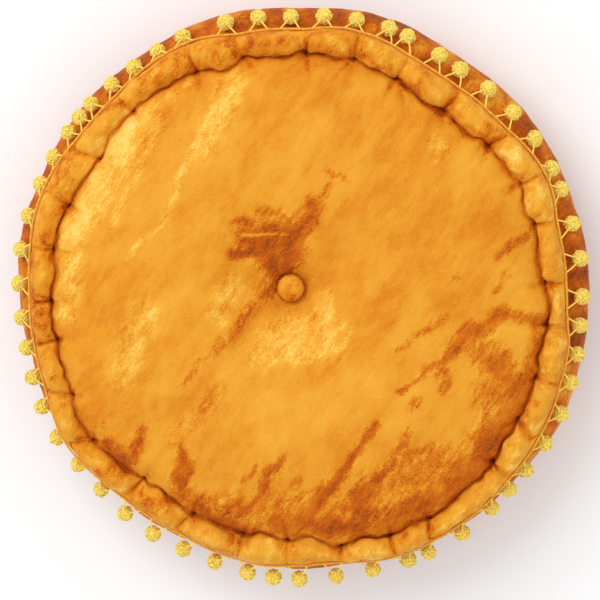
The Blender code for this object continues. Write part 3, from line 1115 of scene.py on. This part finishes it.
def twisted_yarn(
    paths: Sequence[np.ndarray], closed: bool, radius: float, pitch: float, plies: int = 2, sides: int = 5
) -> tuple[np.ndarray, Faces]:
    """Twists plies round paths.

    Args:
        paths: The points that each yarn follows, one a row.
        closed: Whether each path runs back into its start.
        radius: The whole yarn's radius.
        pitch: How long one turn of the twist is.
        plies: How many plies the yarn has.
        sides: How many sides a ply has.

    Returns:
        The points and the faces, which point out.
    """
    ply_share, steps_a_turn = 0.56, 7
    vertices, faces = [], []
    ply_radius = radius * ply_share
    offset = radius - ply_radius
    for path in paths:
        loop = np.concatenate([path, path[:1]]) if closed else path
        lengths = np.concatenate([[0], np.cumsum(np.linalg.norm(np.diff(loop, axis=0), axis=1))])
        turns = max(2, round(lengths[-1] / pitch))
        steps = turns * steps_a_turn
        at = np.linspace(0, lengths[-1], steps + 1)[: steps + (0 if closed else 1)]
        line = resample(loop, lengths, at)
        ahead = np.roll(line, -1, axis=0) - np.roll(line, 1, axis=0) if closed else np.gradient(line, axis=0)
        tangent = unit(ahead)
        across = unit(np.cross(tangent, (0, 0, 1)))
        upward = np.cross(across, tangent)
        for ply in range(plies):
            phase = math.tau * (at / lengths[-1] * turns + ply / plies)
            lean = np.cos(phase)[:, None] * across + np.sin(phase)[:, None] * upward
            middle = line + offset * lean
            base = len(vertices)
            for side in range(sides):
                angle = math.tau * side / sides
                ring = middle + ply_radius * (math.cos(angle) * across + math.sin(angle) * upward)
                vertices.extend(ring.tolist())
            count = len(line)
            for side in range(sides):
                here, there = base + side * count, base + (side + 1) % sides * count
                last = count if closed else count - 1
                for step in range(last):
                    ahead_step = (step + 1) % count
                    faces.append((here + step, there + step, there + ahead_step, here + ahead_step))
            if not closed:
                faces.append(tuple(base + side * count for side in reversed(range(sides))))
                faces.append(tuple(base + side * count + count - 1 for side in range(sides)))
    return np.array(vertices), faces


@dataclass
class PompomTrim:
    """The trim: a twisted heading cord on the rim's seam, and pompoms that hang from it by two legs each."""

    form: CushionForm
    node: bpy.types.Object
    yarn: WoolYarn
    heading_radius: float = 1.1 * MM
    heading_gap: float = 0.35 * MM
    leg_radius: float = 0.75 * MM
    leg_spread_deg: float = 2.05
    leg_share_of_gap: float = 0.42
    leg_wander: float = 0.6 * MM
    leg_bow: float = 0.5 * MM
    leg_depth: float = 0.35
    pompom_radius: float = 6.4 * MM
    tuft_start: float = 0.86
    tuft_end: float = 0.94
    tuft_swerve: float = 0.35 * MM
    twist_pitch: float = 3.6 * MM
    front_reach: float = 3 * MM
    heading_tip: float = 0.02
    leg_tip: float = 0.75
    # Painted shade for the points deep in a pompom.
    root_shade_tip: float = 0.22
    seed: int = 5

    def build(self) -> list[bpy.types.Object]:
        """Makes the trim's pieces.

        Returns:
            The heading, the legs and the pompoms.
        """
        material = self.yarn.material("pompom_yarn")
        pieces = [self.heading(), self.legs(), self.pompoms()]
        for piece in pieces:
            piece.data.materials.append(material)
        return pieces

    def centres(self) -> np.ndarray:
        """Returns the middle of each pompom, in order round the rim.

        It lies over the lowest point of each solid ball. In front it is moved out, where the side band is slack.
        """
        points = np.array([vertex.co for vertex in self.node.data.vertices])
        lowest = points[points[:, 2] < points[:, 2].min() + SAME_PLACE]
        single = np.unique(np.round(lowest / (0.1 * MM)).astype(int), axis=0) * 0.1 * MM
        single = single[np.argsort(np.arctan2(single[:, 1], single[:, 0]))]
        out = unit(single * (1, 1, 0))
        in_front = np.maximum(0, -out[:, 1:2]) ** 3
        return single + (0, 0, self.pompom_radius) + out * self.front_reach * in_front

    def heading_line(self) -> np.ndarray:
        """Returns the points that the heading follows, one for each of the cushion's lines."""
        seam = self.form.row(Row.SEAM)
        out = unit(seam * (1, 1, 0))
        return seam + out * (self.heading_radius + self.heading_gap)

    def heading(self) -> bpy.types.Object:
        """Returns the heading cord."""
        vertices, faces = twisted_yarn([self.heading_line()], True, self.heading_radius, self.twist_pitch)
        piece = new_piece("heading_cord", vertices, faces)
        set_attribute(piece, "tip", np.full(len(vertices), self.heading_tip))
        return piece

    def legs(self) -> bpy.types.Object:
        """Returns the pompoms' legs, two for each."""
        centres = self.centres()
        line = self.heading_line()
        around = np.unwrap(np.arctan2(line[:, 1], line[:, 0]))
        knots = np.concatenate([around - math.tau, around, around + math.tau])
        rim = np.concatenate([line, line, line])
        angles = np.arctan2(centres[:, 1], centres[:, 0])
        gaps = np.diff(np.concatenate([angles[-1:] - math.tau, angles, angles[:1] + math.tau]))
        random = np.random.default_rng(self.seed)
        paths = []
        for number, (centre, angle) in enumerate(zip(centres, angles)):
            for sign, gap in ((-1, gaps[number]), (1, gaps[number + 1])):
                spread = min(math.radians(self.leg_spread_deg), self.leg_share_of_gap * gap)
                root = resample(rim, knots, np.array([angle + sign * spread]))[0]
                inner = centre + unit(root - centre) * self.leg_depth * self.pompom_radius
                middle = (root + inner) / 2 + random.uniform(-self.leg_wander, self.leg_wander, 3)
                middle += unit(centre * (1, 1, 0)) * self.leg_bow
                paths.append(resample(np.array([root, middle, inner]), np.array([0, 0.5, 1]), np.linspace(0, 1, 9)))
        vertices, faces = twisted_yarn(paths, False, self.leg_radius, self.twist_pitch)
        piece = new_piece("pompom_legs", vertices, faces)
        set_attribute(piece, "tip", np.full(len(vertices), self.leg_tip))
        return piece

    def pompom(self) -> tuple[np.ndarray, Faces, np.ndarray]:
        """Models one clipped pompom about the origin: a ball whose faces are drawn out into blunt yarn ends.

        Returns:
            Its points, its faces, and how far towards an end of yarn each point is.
        """
        bpy.ops.object.select_all(action="DESELECT")
        start = self.pompom_radius * self.tuft_start
        bpy.ops.mesh.primitive_ico_sphere_add(subdivisions=3, radius=start)
        ball = bpy.context.object
        bpy.ops.object.mode_set(mode="EDIT")
        bpy.ops.mesh.select_mode(type="FACE")
        bpy.ops.mesh.select_all(action="SELECT")
        length = self.pompom_radius * self.tuft_end - start
        bpy.ops.mesh.extrude_faces_move(TRANSFORM_OT_shrink_fatten={"value": length})
        bpy.ops.mesh.poke(offset=0.02 * self.pompom_radius)
        bpy.ops.object.mode_set(mode="OBJECT")
        points = np.array([vertex.co for vertex in ball.data.vertices])
        faces = [tuple(polygon.vertices) for polygon in ball.data.polygons]
        reach = np.linalg.norm(points, axis=1)
        tips = (reach > start * 1.05).astype(float)
        bpy.data.objects.remove(ball)
        return points, faces, tips

    def pompoms(self) -> bpy.types.Object:
        """Returns all the pompoms, each turned its own way and clipped a little unevenly."""
        random = np.random.default_rng(self.seed + 1)
        points, faces, tips = self.pompom()
        groups = self.yarn_ends(faces, tips)
        vertices, all_faces, all_tips = [], [], []
        for centre in self.centres():
            turned = points @ np.array(Matrix.Rotation(random.uniform(0, math.tau), 3, "Z")).T
            turned = turned @ np.array(Matrix.Rotation(random.uniform(0, math.tau), 3, "X")).T
            shaggy = turned.copy()
            # Points deep in the pompom start with painted shade; the yarn ends are set lighter below.
            shades = np.full(len(points), self.root_shade_tip)
            for group in groups:
                middle = turned[group].mean(axis=0)
                swerve = random.normal(0, self.tuft_swerve, 3)
                stretch = 1.03 + random.uniform(-0.07, 0.07)
                narrowed = middle + (turned[group] - middle) * random.uniform(1.0, 1.45)
                shaggy[group] = narrowed * stretch + swerve
                shades[group] = random.uniform(0.55, 1.05)
            squash = 1 + random.uniform(-0.05, 0.04, 3)
            base = len(vertices)
            vertices.extend((centre + shaggy * squash).tolist())
            all_faces += [tuple(base + index for index in face) for face in faces]
            all_tips.append(shades)
        piece = new_piece("pompoms", np.array(vertices), all_faces)
        set_attribute(piece, "tip", np.concatenate(all_tips))
        return piece

    @staticmethod
    def yarn_ends(faces: Sequence[Sequence[int]], tips: np.ndarray) -> list[list[int]]:
        """Groups the outer points by the yarn end that they belong to.

        Args:
            faces: The pompom's faces.
            tips: 1 for each outer point.

        Returns:
            The points of each end.
        """
        owner = {}
        for face in faces:
            outer = [index for index in face if tips[index] > 0]
            merged = set(outer).union(*(owner[index] for index in outer if index in owner))
            for index in merged:
                owner[index] = merged
        return [sorted(group) for group in {id(found): found for found in owner.values()}.values()]


@dataclass
class Studio:
    """The pale floor, the soft lights and the camera."""

    tilt_deg: float = 10.0
    toward_deg: float = 60.0
    distance: float = 2.2
    view_width: float = 480 * MM
    axis_offset: tuple[float, float] = (2.2 * MM, 1.5 * MM)
    seam_height: float = 88 * MM
    room_light: float = 0.82
    paper_width: float = 12.0

    def build(self) -> None:
        """Makes the floor, the lights and the camera."""
        self.floor()
        self.camera()
        self.area_light("key", (-0.9, 1.3, 2.0), size=1.4, power=22.0)
        self.area_light("fill", (1.4, -1.0, 1.8), size=2.2, power=3.0)
        world = bpy.data.worlds.new("studio")
        world.use_nodes = True
        background = world.node_tree.nodes["Background"]
        background.inputs["Color"].default_value = (1, 1, 1, 1)
        background.inputs["Strength"].default_value = self.room_light
        bpy.context.scene.world = world
        bpy.context.scene.view_settings.view_transform = "Standard"

    def floor(self) -> None:
        """Lays the studio paper under the pouf."""
        bpy.ops.object.select_all(action="DESELECT")
        bpy.ops.mesh.primitive_grid_add(x_subdivisions=8, y_subdivisions=8, size=self.paper_width)
        floor = bpy.context.object
        floor.name = "studio_floor"
        floor.data.materials.append(PaperFloor().material("studio_paper"))
        floor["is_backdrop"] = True

    def camera(self) -> None:
        """Places the camera at the photo's angle, with +Y at the top of the picture."""
        target = Vector((*self.axis_offset, self.seam_height))
        tilt, toward = math.radians(self.tilt_deg), math.radians(self.toward_deg)
        back = Vector((math.sin(tilt) * math.cos(toward), math.sin(tilt) * math.sin(toward), math.cos(tilt)))
        right = Vector((0, 1, 0)).cross(back).normalized()
        up = back.cross(right)
        data = bpy.data.cameras.new("camera")
        data.sensor_width = 36
        data.lens = data.sensor_width * self.distance / self.view_width
        camera = bpy.data.objects.new("camera", data)
        turned = Matrix((right, up, back)).transposed()
        camera.matrix_world = Matrix.Translation(target + back * self.distance) @ turned.to_4x4()
        bpy.context.scene.collection.objects.link(camera)
        bpy.context.scene.camera = camera

    def area_light(self, name: str, place: tuple[float, float, float], size: float, power: float) -> None:
        """Adds a square soft light that points at the pouf.

        Args:
            name: The light's name.
            place: Where it hangs.
            size: How wide it is.
            power: How many watts it has.
        """
        data = bpy.data.lights.new(name, "AREA")
        data.size = size
        data.energy = power
        light = bpy.data.objects.new(name, data)
        light.location = place
        light.rotation_euler = (-Vector(place)).to_track_quat("-Z", "Y").to_euler()
        bpy.context.scene.collection.objects.link(light)


def keep(piece: bpy.types.Object, slot: Slot, *nodes: str) -> None:
    """Ties a finished piece to the frame.

    Args:
        piece: The piece.
        slot: The record's material slot that it has; not used.
        nodes: The solids that it stands for.
    """
    if nodes:
        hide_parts(*nodes)
    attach(piece, BODY)
    LOG.info("%s: %d faces", piece.name, len(piece.data.polygons))


def main() -> None:
    """Builds the pouf and its studio."""
    logging.basicConfig(level=logging.INFO, format="%(message)s")
    for thing in list(bpy.data.objects):
        bpy.data.objects.remove(thing)
    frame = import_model()
    solid_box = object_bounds()
    Studio().build()
    form = CushionForm(frame["nodes"]["cushion"])
    velvet = CrushedVelvet()
    cushion = Cushion(form, velvet).build()
    keep(cushion, Slot.VELVET, "cushion")
    keep(CoveredButton("button", velvet).build(), Slot.VELVET, "button")
    heading, legs, pompoms = PompomTrim(form, frame["nodes"]["pompom_trim"], WoolYarn()).build()
    keep(heading, Slot.YARN, "pompom_trim")
    keep(legs, Slot.YARN, "pompom_trim")
    keep(pompoms, Slot.YARN, "pompom_trim")
    dressed_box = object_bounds()
    [[list(corner) for corner in box] for box in (solid_box, dressed_box)]


if __name__ == "__main__":
    main()
